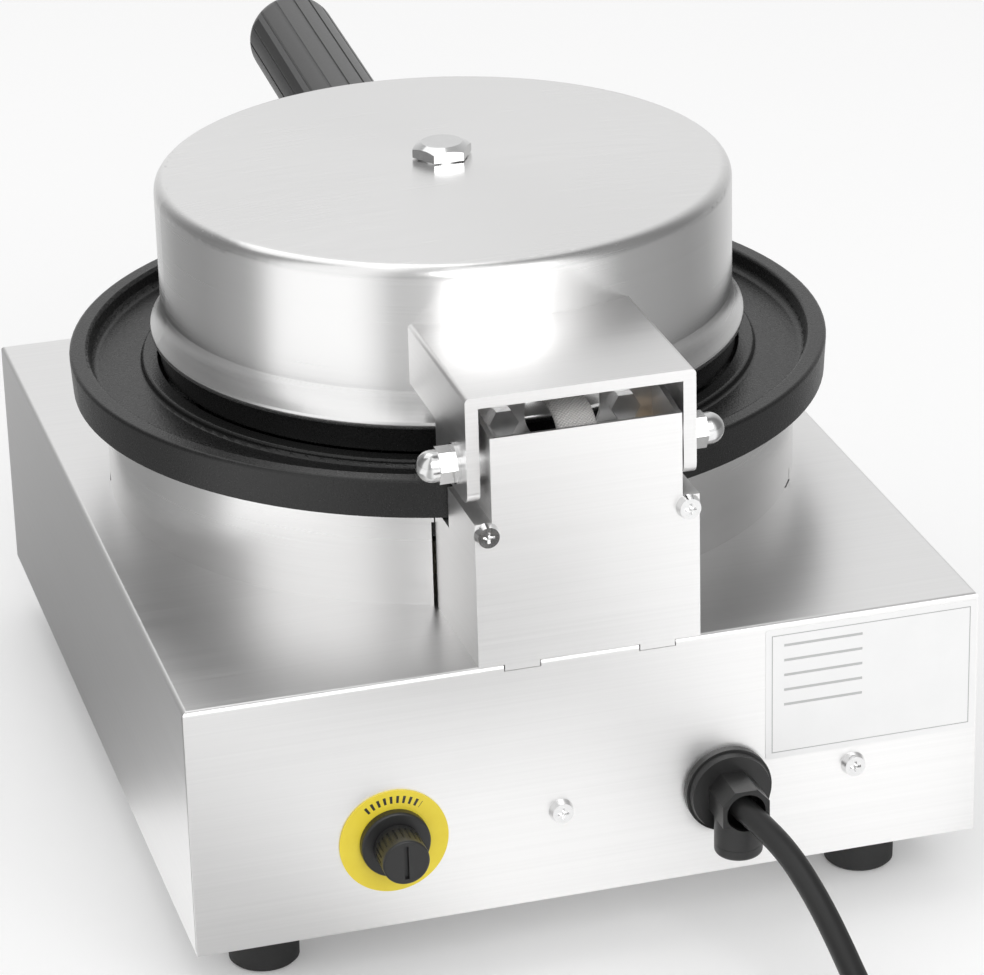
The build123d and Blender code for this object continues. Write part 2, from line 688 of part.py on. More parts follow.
# Bushes in the column's walls and spacers between column and arm
with BuildPart() as hinge_bushes:
    for side in (-1, 1):
        with BuildSketch(Plane.YZ.offset(side * (neck_half - 5))):
            with Locations((pivot_y, pivot_z)):
                Circle(4.8)
                Circle(spindle_r + running, mode=Mode.SUBTRACT)
        extrude(amount=side * 5)
finish(hinge_bushes, "hinge_bushes")

with BuildPart() as hinge_spacers:
    for side in (-1, 1):
        with BuildSketch(Plane.YZ.offset(side * neck_half)):
            with Locations((pivot_y, pivot_z)):
                Circle(6.0)
                Circle(spindle_r + running, mode=Mode.SUBTRACT)
        extrude(amount=side * (arm_half - arm_t - neck_half - 0.1))
finish(hinge_spacers, "hinge_spacers")

# Glass-fibre sleeve that brings the lid's leads over the spindle and down the column
sleeve_in = plate_y + lid_r - 7.5
with BuildPart() as lead_sleeve:
    with BuildLine() as sleeve_path:
        FilletPolyline(
            (0, sleeve_in, sleeve_z), (0, sleeve_y, sleeve_z), (0, sleeve_y, sleeve_low), radius=8.5
        )
    with BuildSketch(sleeve_path.line ^ 0):
        SlotOverall(sleeve_w, sleeve_t, rotation=90)
    sweep()
finish(lead_sleeve, "lead_sleeve")

# Leads inside the lid, from the upper element to the sleeve
lead_r = 1.5
lead_level = upper_clamp_z + clamp_t + upper_wool_t + 5
with BuildPart() as lid_leads:
    for side in (-1, 1):
        with BuildLine() as lead_path:
            FilletPolyline(
                (side * pin_x, pin_y, upper_back + element_tube_r + element_pin_l + 0.2),
                (side * pin_x, pin_y, lead_level),
                (side * 4, plate_y + lid_r - 4, lead_level),
                (side * 4, plate_y + lid_r - 4, sleeve_z + sleeve_t / 2 + 0.1),
                radius=2.5,
            )
        with BuildSketch(lead_path.line ^ 0):
            Circle(lead_r)
        sweep()
finish(lid_leads, "lid_leads")

# Handle: neck on the lid, threaded rod, and fluted grip
rise = math.radians(handle_rise_deg)
handle_dir = Vector(0, -math.cos(rise), math.sin(rise))
handle_foot = Vector(0, plate_y - lid_r, handle_z)


def on_handle(along):
    """A plane across the handle at a distance from the lid."""
    return Plane(origin=handle_foot + handle_dir * along, x_dir=(1, 0, 0), z_dir=handle_dir)


neck_r, neck_foot_r = 6.5, 8.0
with BuildPart() as handle_neck:
    with BuildSketch(on_handle(-3)):
        Circle(neck_foot_r)
    extrude(amount=6)
    with BuildSketch(on_handle(3)):
        Circle(neck_foot_r)
    with BuildSketch(on_handle(9)):
        Circle(neck_r)
    loft()
    with BuildSketch(on_handle(9)):
        Circle(neck_r)
    extrude(amount=grip_start - 3 - 9)
    with BuildSketch(on_handle(grip_start - 3)):
        Circle(neck_r + 5)
    extrude(amount=3)
    with BuildSketch(on_handle(-6)):
        Circle(handle_rod_r)
    extrude(amount=grip_start + 8, mode=Mode.SUBTRACT)
    with BuildSketch(Plane.XY.offset(handle_z - 30)):
        with Locations((0, plate_y)):
            Circle(lid_r)
    extrude(amount=60, mode=Mode.SUBTRACT)
finish(handle_neck, "handle_neck")

rod_in, rod_out = -5.2, 60.0
with BuildPart() as handle_rod:
    with BuildSketch(on_handle(rod_in)):
        Circle(handle_rod_r - 0.05)
    extrude(amount=rod_out - rod_in)
    with BuildSketch(on_handle(rod_in)):
        RegularPolygon(6.0, 6, major_radius=False)
    extrude(amount=3.2)
finish(handle_rod, "handle_rod")

flutes, flute_w, flute_depth = 16, 0.9, 0.5
with BuildPart() as handle_grip:
    with BuildSketch(on_handle(grip_start)):
        Circle(grip_r)
    extrude(amount=grip_end - grip_start)
    ends = handle_grip.edges().filter_by(GeomType.CIRCLE).sort_by(Axis.Y)
    fillet(ends[0], 9.0)
    fillet(handle_grip.edges().filter_by(GeomType.CIRCLE).sort_by(Axis.Y)[-1], 2.0)
    with BuildSketch(on_handle(grip_start + 4)):
        with PolarLocations(grip_r, flutes):
            Rectangle(2 * flute_depth, flute_w)
    extrude(amount=grip_end - grip_start - 4, mode=Mode.SUBTRACT)
    with BuildSketch(on_handle(grip_start)):
        Circle(handle_rod_r)
    extrude(amount=rod_out - grip_start + 0.5, mode=Mode.SUBTRACT)
finish(handle_grip, "handle_grip")

# Bracket, terminal block and cord gland
bracket_x0, bracket_x1, bracket_t = -92.0, 18.0, 1.5
bracket_mid = (bracket_x0 + bracket_x1) / 2
inner_back = rear - sheet
shelf_z, shelf_l = fitting_z - 16.0, 40.0
with BuildPart() as terminal_bracket:
    with BuildSketch(facing_rear(bracket_mid, inner_back - bracket_t, fitting_z)):
        Rectangle(bracket_x1 - bracket_x0, 32)
        with Locations((bracket_mid - gland_x, 0)):
            Circle(gland_hole_r, mode=Mode.SUBTRACT)
        with Locations(*[(bracket_mid - x, 1) for x in bracket_screw_x]):
            Circle(screw_hole_r, mode=Mode.SUBTRACT)
    extrude(amount=bracket_t)
    with BuildSketch(Plane.XY.offset(shelf_z)):
        with Locations((bracket_mid, inner_back - shelf_l / 2)):
            Rectangle(bracket_x1 - bracket_x0, shelf_l)
    extrude(amount=bracket_t)
finish(terminal_bracket, "terminal_bracket")

block_w, block_d, block_h = 34.0, 18.0, 15.0
block_y = inner_back - 28.0
with BuildPart() as terminal_block:
    with BuildSketch(Plane.XY.offset(shelf_z + bracket_t)):
        with Locations((-2.5, block_y)):
            Rectangle(block_w, block_d)
    extrude(amount=block_h)
    chamfer(terminal_block.edges().group_by(Axis.Z)[-1], 1.5)
    with BuildSketch(Plane.XY.offset(shelf_z + bracket_t + block_h)):
        with Locations((-2.5, block_y)):
            with GridLocations(11, 9, 3, 2):
                Circle(2.2)
    extrude(amount=-4, mode=Mode.SUBTRACT)
finish(terminal_block, "terminal_block")

gland_flange_r, gland_flange_t, gland_reach, gland_w = 13.8, 2.6, 18.5, 15.0
with BuildPart() as gland_body:
    with BuildSketch(facing_rear(gland_x, rear, fitting_z)):
        Circle(gland_flange_r)
    extrude(amount=gland_flange_t)
    with BuildSketch(facing_rear(gland_x, rear + gland_flange_t, fitting_z)):
        Circle(gland_flange_r - 0.7)
    extrude(amount=gland_flange_t, taper=12)
    with BuildSketch(facing_rear(gland_x, rear, fitting_z)):
        with BuildLine():
            Polyline(
                (-gland_w / 2, -4), (gland_w / 2, -4), (gland_w / 2, 3.2), (3.6, 7.5),
                (-3.6, 7.5), (-gland_w / 2, 3.2), close=True,
            )
        make_face()
    extrude(amount=gland_reach)
    with BuildSketch(Plane.XY.offset(fitting_z - 13.2)):
        with Locations((gland_x, rear + 11)):
            Circle(gland_w / 2)
            Circle(5.6, mode=Mode.SUBTRACT)
    extrude(amount=13.2)
    with BuildSketch(facing_rear(gland_x, rear - 12, fitting_z)):
        Circle(gland_hole_r - 0.2)
    extrude(amount=12)
    with BuildSketch(facing_rear(gland_x, rear + gland_reach - 8, fitting_z)):
        Circle(6.2)
    extrude(amount=8, mode=Mode.SUBTRACT)
    with BuildSketch(facing_rear(gland_x, rear - 12, fitting_z)):
        Circle(4.2)
    extrude(amount=12 + gland_reach, mode=Mode.SUBTRACT)
finish(gland_body, "gland_body")

with BuildPart() as gland_clamp:
    with BuildSketch(Plane.XY.offset(fitting_z - 16.8)):
        with Locations((gland_x, rear + 11)):
            Circle(gland_w / 2)
    extrude(amount=3.5)
    fillet(gland_clamp.edges().group_by(Axis.Z)[0], 1.5)
    with BuildSketch(Plane.XY.offset(fitting_z - 13.3)):
        with Locations((gland_x, rear + 11)):
            Circle(5.4)
    extrude(amount=4)
finish(gland_clamp, "gland_clamp")

with BuildPart() as gland_nut:
    with BuildSketch(facing_rear(gland_x, inner_back - bracket_t - 5, fitting_z)):
        RegularPolygon(13.0, 6, major_radius=False)
        Circle(gland_hole_r - 0.2, mode=Mode.SUBTRACT)
    extrude(amount=5)
finish(gland_nut, "gland_nut")

# Rating plate, a thin sheet with nothing on it
label_w, label_h, label_t = 68.8, 44.0, 0.2
with BuildPart() as rating_plate:
    with BuildSketch(facing_rear(-90.0, rear, top - 2 - label_h / 2)):
        RectangleRounded(label_w, label_h, 1.0)
    extrude(amount=label_t)
finish(rating_plate, "rating_plate")

# Reset of the high-limit cut-out: plate, bush, button, seal and screwed cap
reset_plate_r, reset_plate_t = 17.0, 0.6
reset_bush_r, reset_bush_t, nozzle_r, nozzle_l = 10.8, 3.0, 5.2, 5.4
button_r, button_clear = 2.5, 0.3
bush_face = rear + reset_plate_t + reset_bush_t
with BuildPart() as reset_plate:
    with BuildSketch(facing_rear(reset_x, rear, fitting_z)):
        Circle(reset_plate_r)
        Circle(reset_hole_r, mode=Mode.SUBTRACT)
    extrude(amount=reset_plate_t)
finish(reset_plate, "reset_plate")

with BuildPart() as reset_bush:
    with BuildSketch(facing_rear(reset_x, rear + reset_plate_t, fitting_z)):
        Circle(reset_bush_r)
    extrude(amount=reset_bush_t)
    fillet(reset_bush.edges().sort_by(Axis.Y)[-1], 0.8)
    with BuildSketch(facing_rear(reset_x, rear - 12, fitting_z)):
        Circle(reset_hole_r - 0.2)
    extrude(amount=12 + reset_plate_t)
    with BuildSketch(facing_rear(reset_x, bush_face, fitting_z)):
        Circle(nozzle_r)
    extrude(amount=nozzle_l)
    with BuildSketch(facing_rear(reset_x, rear - 12, fitting_z)):
        Circle(button_r + button_clear)
    extrude(amount=40, mode=Mode.SUBTRACT)
finish(reset_bush, "reset_bush")

with BuildPart() as reset_nut:
    with BuildSketch(facing_rear(reset_x, inner_back - 4, fitting_z)):
        RegularPolygon(8.5, 6, major_radius=False)
        Circle(reset_hole_r - 0.2, mode=Mode.SUBTRACT)
    extrude(amount=4)
finish(reset_nut, "reset_nut")

with BuildPart() as reset_button:
    with BuildSketch(facing_rear(reset_x, rear - 9, fitting_z)):
        Circle(button_r)
    extrude(amount=9 + reset_plate_t + reset_bush_t + nozzle_l + 1)
    fillet(reset_button.edges().sort_by(Axis.Y)[-1], 0.6)
finish(reset_button, "reset_button")

with BuildPart() as cutout:
    with BuildSketch(facing_rear(reset_x, rear - 32, fitting_z)):
        Circle(13)
    extrude(amount=19.5)
    with BuildSketch(facing_rear(reset_x, rear - 38, fitting_z)):
        with Locations((-6, 0), (6, 0)):
            Rectangle(0.8, 6.3)
    extrude(amount=6)
finish(cutout, "cutout")

seal_t, cap_r, cap_bore_r, cap_reach = 0.8, 7.3, 5.5, 15.0
cap_start = bush_face + seal_t + 0.1
with BuildPart() as reset_seal:
    with BuildSketch(facing_rear(reset_x, bush_face + 0.05, fitting_z)):
        Circle(7.0)
        Circle(cap_bore_r, mode=Mode.SUBTRACT)
    extrude(amount=seal_t)
finish(reset_seal, "reset_seal")

with BuildPart() as reset_cap:
    with BuildSketch(facing_rear(reset_x, cap_start, fitting_z)):
        Circle(cap_r)
    extrude(amount=rear + cap_reach - cap_start)
    fillet(reset_cap.edges().sort_by(Axis.Y)[-1], 0.7)
    with BuildSketch(facing_rear(reset_x, cap_start, fitting_z)):
        Circle(cap_bore_r)
    extrude(amount=rear + cap_reach - 2.4 - cap_start, mode=Mode.SUBTRACT)
    with BuildSketch(facing_rear(reset_x, rear + cap_reach, fitting_z)):
        Rectangle(1.4, 11)
    extrude(amount=-1.2, mode=Mode.SUBTRACT)
    with BuildSketch(facing_rear(reset_x, cap_start + 2, fitting_z)):
        with PolarLocations(cap_r, 24):
            Circle(0.35)
    extrude(amount=6, mode=Mode.SUBTRACT)
finish(reset_cap, "reset_cap")

# Mains switch: body with bezel, and a rocker that tips about its middle
bezel_w, bezel_h, bezel_t = 25.0, 31.0, 2.0
well_w, well_h, well_depth = 15.2, 24.6, 11.0
with BuildPart() as switch_body:
    with BuildSketch(facing_front(switch_x, front, control_z)):
        RectangleRounded(bezel_w, bezel_h, 2)
    extrude(amount=bezel_t)
    with BuildSketch(facing_front(switch_x, front + 24, control_z)):
        Rectangle(switch_w, switch_h)
    extrude(amount=24)
    with BuildSketch(facing_front(switch_x, front + well_depth - bezel_t, control_z)):
        Rectangle(well_w, well_h)
    extrude(amount=well_depth, mode=Mode.SUBTRACT)
finish(switch_body, "switch_body")

rocker_tilt_deg, rocker_w, rocker_half_h, rocker_pivot = 8.0, 14.4, 10.8, 3.0
rocker_front, rocker_back, trunnion_r, trunnion_l = 4.6, 3.5, 1.5, 0.3
rocker_centre = (switch_x, front + rocker_pivot, control_z)
tilt = math.radians(rocker_tilt_deg)
rocker_plane = Plane(origin=rocker_centre, x_dir=(0, -math.cos(tilt), -math.sin(tilt)), z_dir=(1, 0, 0))
with BuildPart() as switch_rocker:
    with BuildSketch(rocker_plane.offset(-rocker_w / 2)):
        with BuildLine():
            Polyline(
                (rocker_front, rocker_half_h), (-rocker_back, rocker_half_h),
                (-rocker_back, -rocker_half_h), (rocker_front, -rocker_half_h),
            )
            ThreePointArc(
                (rocker_front, -rocker_half_h), (rocker_front + 1.5, 0), (rocker_front, rocker_half_h)
            )
        make_face()
    extrude(amount=rocker_w)
    with BuildSketch(rocker_plane.offset(-rocker_w / 2 - trunnion_l)):
        Circle(trunnion_r)
    extrude(amount=rocker_w + 2 * trunnion_l)
finish(switch_rocker, "switch_rocker")

# Thermostat, its capillary bulb, shaft and knob
stat_w, stat_l, shaft_r = 34.0, 32.0, 3.0
with BuildPart() as thermostat:
    with BuildSketch(facing_front(knob_x, front + 3 + stat_l, control_z)):
        RectangleRounded(stat_w, stat_w, 3)
    extrude(amount=stat_l)
    with BuildSketch(facing_front(knob_x, front + 3, control_z)):
        Circle(bush_hole_r - 0.2)
    extrude(amount=5)
    with BuildSketch(facing_front(knob_x, front, control_z)):
        RegularPolygon(7.0, 6, major_radius=False)
    extrude(amount=2)
    with BuildSketch(facing_front(knob_x, front + 13, control_z)):
        Circle(shaft_r + running)
    extrude(amount=20, mode=Mode.SUBTRACT)
finish(thermostat, "thermostat")

stat_rear = front + 3 + stat_l
bulb_z, bulb_half, capillary_r, bulb_r = lower_back - 2.3, 30.0, 1.0, 2.0
with BuildPart() as thermostat_bulb:
    with BuildLine() as capillary_path:
        FilletPolyline(
            (capillary_x + 6, stat_rear + 0.6, control_z + 8),
            (capillary_x, capillary_y, control_z + 8),
            (capillary_x, capillary_y, bulb_z),
            (bulb_half, capillary_y, bulb_z),
            radius=4,
        )
    with BuildSketch(capillary_path.line ^ 0):
        Circle(capillary_r)
    sweep()
    with BuildSketch(Plane.YZ.offset(-bulb_half)):
        with Locations((capillary_y, bulb_z)):
            Circle(bulb_r)
    extrude(amount=2 * bulb_half + 0.5)
finish(thermostat_bulb, "thermostat_bulb")

shaft_out = 16.0
with BuildPart() as knob_shaft:
    with BuildSketch(facing_front(knob_x, front + 12, control_z)):
        Circle(shaft_r)
    extrude(amount=12 + shaft_out)
finish(knob_shaft, "knob_shaft")

knob_r, knob_start, knob_h = 21.0, 3.0, 17.0
with BuildPart() as knob:
    with BuildSketch(facing_front(knob_x, front - knob_start, control_z)):
        Circle(knob_r)
    extrude(amount=4)
    with BuildSketch(facing_front(knob_x, front - knob_start - 4, control_z)):
        Circle(knob_r - 2)
    extrude(amount=knob_h - 4, taper=5)
    fillet(knob.edges().sort_by(Axis.Y)[0], 1.2)
    with BuildSketch(facing_front(knob_x, front - knob_start - 4, control_z)):
        with PolarLocations(knob_r - 1.6, 20):
            Circle(1.2)
    extrude(amount=knob_h - 4, mode=Mode.SUBTRACT)
    with BuildSketch(facing_front(knob_x, front - knob_start - knob_h, control_z)):
        with Locations((0, 9)):
            Rectangle(1.2, 12)
    extrude(amount=-0.6, mode=Mode.SUBTRACT)
    with BuildSketch(facing_front(knob_x, front - knob_start, control_z)):
        Circle(9)
    extrude(amount=2, mode=Mode.SUBTRACT)
    with BuildSketch(facing_front(knob_x, front - knob_start, control_z)):
        Circle(shaft_r)
    extrude(amount=shaft_out - knob_start, mode=Mode.SUBTRACT)
finish(knob, "knob")

# Pilot lamps
lens_r, lamp_bezel_r = 4.6, 7.0
with BuildPart() as lamp_bodies:
    for x in lamp_x:
        with BuildSketch(facing_front(x, front, control_z)):
            Circle(lamp_bezel_r)
        extrude(amount=1.6)
        with BuildSketch(facing_front(x, front + 20, control_z)):
            Circle(lamp_hole_r - 0.1)
        extrude(amount=20)
        with BuildSketch(facing_front(x, front + 1, control_z)):
            Circle(lens_r)
        extrude(amount=4, mode=Mode.SUBTRACT)
finish(lamp_bodies, "lamp_bodies")

for x, colour in zip(lamp_x, ("green", "amber")):
    with BuildPart() as lens:
        with BuildSketch(facing_front(x, front + 1, control_z)):
            Circle(lens_r)
        extrude(amount=5)
        fillet(lens.edges().sort_by(Axis.Y)[0], 2.2)
    finish(lens, f"lamp_lens_{colour}")

# Wiring between the terminal block, the switch and the lower element
wire_r = 2.2
block_top = shelf_z + bracket_t + block_h
wire_routes = [
    [(switch_x, front + 24.1, control_z), (switch_x, front + 45, control_z), (-13.5, 60.0, 40.0),
     (-13.5, block_y - block_d / 2 - 14, 44.0), (-13.5, block_y - block_d / 2 - 0.1, 44.0)],
]
pin_end = lower_back - element_tube_r - 0.1 - element_pin_l
wire_routes += [
    [(side * pin_x, pin_y, pin_end - 0.2), (side * pin_x, pin_y, 78.0),
     (side * 9 - 2.5, block_y - 4, 74.0), (side * 9 - 2.5, block_y - 4, block_top + 0.1)]
    for side in (-1, 1)
]
with BuildPart() as inner_wiring:
    for route in wire_routes:
        with BuildLine() as wire_path:
            FilletPolyline(*route, radius=6)
        with BuildSketch(wire_path.line ^ 0):
            Circle(wire_r)
        sweep()
finish(inner_wiring, "inner_wiring")


# Supply cord: straight runs joined by tangent arcs, each as large as its runs allow
def route_radii(points):
    """Radius at each inner point: 0.45 of the shorter run over the tangent of half the turn."""
    radii = []
    for before, at, after in zip(points, points[1:], points[2:]):
        run_in, run_out = Vector(at) - Vector(before), Vector(after) - Vector(at)
        half_turn = math.radians(run_in.get_angle(run_out)) / 2
        radii.append(0.45 * min(run_in.length, run_out.length) / math.tan(half_turn))
    return radii


cord_radii = route_radii(cord_route)
print("cord radii", [round(r, 1) for r in cord_radii], "least allowed", 5 * cord_d)
with BuildPart() as supply_cord:
    with BuildLine() as cord_path:
        FilletPolyline(*cord_route, radius=cord_radii)
    with BuildSketch(cord_path.line ^ 0):
        Circle(cord_r)
    sweep()
finish(supply_cord, "supply_cord")
laid_length = cord_path.wires()[0].length
print("cord laid out", round(laid_length, 1), "volume ratio",
      round(supply_cord.part.volume / (math.pi * cord_r**2 * laid_length), 4))

# Put-away coil: half turns spiral in below, climb one layer, and spiral out above
coil_start = Vector(*cord_route[-1])
coil_centre = coil_start + Vector(coil_outer_r, coil_lead_in, 0)


def coil_points():
    """Ends of the half turns as points and directions, clockwise from the cord's end."""
    points = []
    for half in range(coil_halves_in + coil_halves_out + 2):
        inner = min(half, 2 * coil_halves_in + 1 - half)
        radius = coil_outer_r - inner * coil_step / 2
        if inner == coil_halves_in:
            radius -= coil_reverse_inset
        side = -1 if half % 2 == 0 else 1
        level = 0 if half <= coil_halves_in else coil_step
        points.append((coil_centre + Vector(side * radius, 0, level), Vector(0, -side, 0)))
    return points


turns = coil_points()
with BuildPart() as supply_cord_coil:
    with BuildLine() as coil_path:
        Line(coil_start, turns[0][0])
        for (a, a_dir), (b, b_dir) in zip(turns, turns[1:]):
            reach = (b - a).length / 2
            middle = ((a + a_dir * reach) + (b - b_dir * reach)) / 2
            first = TangentArc(a, middle, tangent=a_dir)
            TangentArc(middle, b, tangent=first % 1)
        Line(turns[-1][0], turns[-1][0] + turns[-1][1] * coil_lead_out)
    with BuildSketch(coil_path.line ^ 0):
        Circle(cord_r)
    sweep()
finish(supply_cord_coil, "supply_cord_coil")
coil_line = coil_path.wires()[0]
coil_length = coil_line.length


def least_self_gap(line, samples=1500):
    """Least clear distance between turns, on points along the line."""
    points = [line @ (i / samples) for i in range(samples + 1)]
    step = line.length / samples
    skip = int(3 * cord_d / step)
    gap = min(
        (points[i] - points[j]).length
        for i in range(0, samples, 2)
        for j in range(i + skip, samples, 2)
    )
    return gap - cord_d


print("coil length", round(coil_length, 1), "volume ratio",
      round(supply_cord_coil.part.volume / (math.pi * cord_r**2 * coil_length), 4),
      "least self gap", round(least_self_gap(coil_line), 2))
print("whole cord", round(laid_length + coil_length, 1))

# Tie round the coil's bundle on its far side
tie_w, tie_t, tie_gap = 5.0, 1.2, 0.8
bundle_in = coil_outer_r - coil_halves_in * coil_step / 2 - coil_reverse_inset - cord_r - tie_gap
bundle_out = coil_outer_r + cord_r + tie_gap
bundle_top = floor_z + coil_step + cord_r + tie_gap
with BuildPart() as cord_tie:
    tie_plane = Plane(origin=(coil_centre.X, coil_centre.Y - tie_w / 2, 0), x_dir=(1, 0, 0), z_dir=(0, 1, 0))
    with BuildSketch(tie_plane):
        with Locations(((bundle_in + bundle_out) / 2, -bundle_top / 2)):
            RectangleRounded(bundle_out - bundle_in + 2 * tie_t, bundle_top + 2 * tie_t - 0.02, 3)
            RectangleRounded(bundle_out - bundle_in, bundle_top - 0.02, 2, mode=Mode.SUBTRACT)
    extrude(amount=tie_w)
    with BuildSketch(Plane.XY.offset(-10)):
        with Locations((coil_centre.X, coil_centre.Y)):
            Rectangle(4 * bundle_out, 4 * bundle_out)
    extrude(amount=10, mode=Mode.SUBTRACT)
finish(cord_tie, "cord_tie")

# Plug lying on its back beside the coil, pins up
cord_end = turns[-1][0] + turns[-1][1] * coil_lead_out
plug_start = cord_end.Y
plug_mid_y = plug_start + 12 + plug_l / 2
plug_base = cord_end.Z - plug_h / 2
with BuildPart() as plug_body:
    with BuildSketch(Plane.XY.offset(plug_base)):
        with BuildLine():
            Polyline(
                (cord_end.X - 14, plug_mid_y - plug_l / 2), (cord_end.X + 14, plug_mid_y - plug_l / 2),
                (cord_end.X + plug_w / 2, plug_mid_y - 6), (cord_end.X + plug_w / 2, plug_mid_y + plug_l / 2),
                (cord_end.X - plug_w / 2, plug_mid_y + plug_l / 2), (cord_end.X - plug_w / 2, plug_mid_y - 6),
                close=True,
            )
        make_face()
    extrude(amount=plug_h)
    fillet(plug_body.edges().filter_by(Axis.Z), 5)
    fillet(plug_body.edges().group_by(Axis.Z)[0], 3)
    with BuildSketch(facing_rear(cord_end.X, plug_start, cord_end.Z)):
        Circle(5.2)
    with BuildSketch(facing_rear(cord_end.X, plug_start + 12, cord_end.Z)):
        Circle(8)
    loft()
finish(plug_body, "plug_body")

pin_gap, earth_l, live_l = 22.2, 22.7, 17.7
with BuildPart() as plug_pins:
    with BuildSketch(Plane.XY.offset(plug_base + plug_h)):
        with Locations((cord_end.X, plug_mid_y + pin_gap / 2)):
            Rectangle(4, 8)
    extrude(amount=earth_l)
    with BuildSketch(Plane.XY.offset(plug_base + plug_h)):
        with Locations((cord_end.X, plug_mid_y - pin_gap / 2)):
            with GridLocations(pin_gap, 1, 2, 1):
                Rectangle(6.35, 4)
    extrude(amount=live_l)
finish(plug_pins, "plug_pins")
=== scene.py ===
import math

import bpy
from mathutils import Matrix, Vector


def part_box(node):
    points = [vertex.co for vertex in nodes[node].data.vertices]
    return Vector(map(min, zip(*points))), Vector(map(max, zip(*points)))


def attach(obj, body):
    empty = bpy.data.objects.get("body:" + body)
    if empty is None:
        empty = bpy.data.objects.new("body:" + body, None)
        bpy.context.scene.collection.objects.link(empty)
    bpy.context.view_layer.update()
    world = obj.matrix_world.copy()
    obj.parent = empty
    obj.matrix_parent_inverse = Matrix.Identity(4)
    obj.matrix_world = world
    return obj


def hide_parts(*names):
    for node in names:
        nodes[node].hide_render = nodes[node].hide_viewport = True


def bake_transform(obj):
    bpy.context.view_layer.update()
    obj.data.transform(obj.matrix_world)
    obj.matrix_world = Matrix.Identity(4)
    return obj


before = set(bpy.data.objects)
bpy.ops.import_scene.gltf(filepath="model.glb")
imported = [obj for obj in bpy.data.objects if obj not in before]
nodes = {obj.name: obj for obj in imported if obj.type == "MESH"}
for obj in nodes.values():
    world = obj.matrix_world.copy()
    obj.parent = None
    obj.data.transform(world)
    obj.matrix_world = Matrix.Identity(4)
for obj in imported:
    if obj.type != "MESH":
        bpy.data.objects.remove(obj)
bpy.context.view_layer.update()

# Places in metres, taken from the frame or repeated from the part's dimensions
lid_low, lid_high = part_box("lid_shell")
lid_x = (lid_low[0] + lid_high[0]) / 2
lid_y = (lid_low[1] + lid_high[1]) / 2
label_low, label_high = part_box("rating_plate")
reset_low, reset_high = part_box("reset_plate")
knob_low, knob_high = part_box("knob")
housing_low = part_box("housing")[0]

# Supply cord and its coil
cord_d = 0.0078
cord_route = [
    (-0.0405, 0.1850, 0.0520),
    (-0.0460, 0.1970, 0.0480),
    (-0.0515, 0.2082, 0.0422),
    (-0.0555, 0.2195, 0.0338),
    (-0.0580, 0.2310, 0.0256),
    (-0.0596, 0.2460, 0.0165),
    (-0.0610, 0.2630, 0.0088),
    (-0.0620, 0.2810, 0.00395),
    (-0.0620, 0.4050, 0.00395),
]
coil_outer_r, coil_step, coil_reverse_inset = 0.057, 0.0083, 0.0013
coil_halves_in, coil_halves_out = 6, 5
coil_lead_out = 0.034


# Shader expressions
class Wire:
    """A shader socket that takes part in sums."""

    def __init__(self, tree, socket):
        self.tree = tree
        self.socket = socket

    def math(self, operation, *values):
        node = self.tree.nodes.new("ShaderNodeMath")
        node.operation = operation
        for slot, value in zip(node.inputs, values):
            join(self.tree, slot, value)
        return Wire(self.tree, node.outputs[0])

    def __add__(self, other):
        return self.math("ADD", self, other)

    def __radd__(self, other):
        return self.math("ADD", other, self)

    def __sub__(self, other):
        return self.math("SUBTRACT", self, other)

    def __rsub__(self, other):
        return self.math("SUBTRACT", other, self)

    def __mul__(self, other):
        return self.math("MULTIPLY", self, other)

    def __rmul__(self, other):
        return self.math("MULTIPLY", other, self)

    def __abs__(self):
        return self.math("ABSOLUTE", self)

    def over(self, edge):
        return self.math("GREATER_THAN", self, edge)

    def under(self, edge):
        return self.math("LESS_THAN", self, edge)

    def sin(self):
        return self.math("SINE", self)

    def root(self):
        return self.math("SQRT", self)

    def angle(self, other):
        return self.math("ARCTAN2", self, other)


def join(tree, slot, value):
    """Links a wire to a socket, or sets the socket to a plain value."""
    if isinstance(value, Wire):
        tree.links.new(value.socket, slot)
    else:
        slot.default_value = value


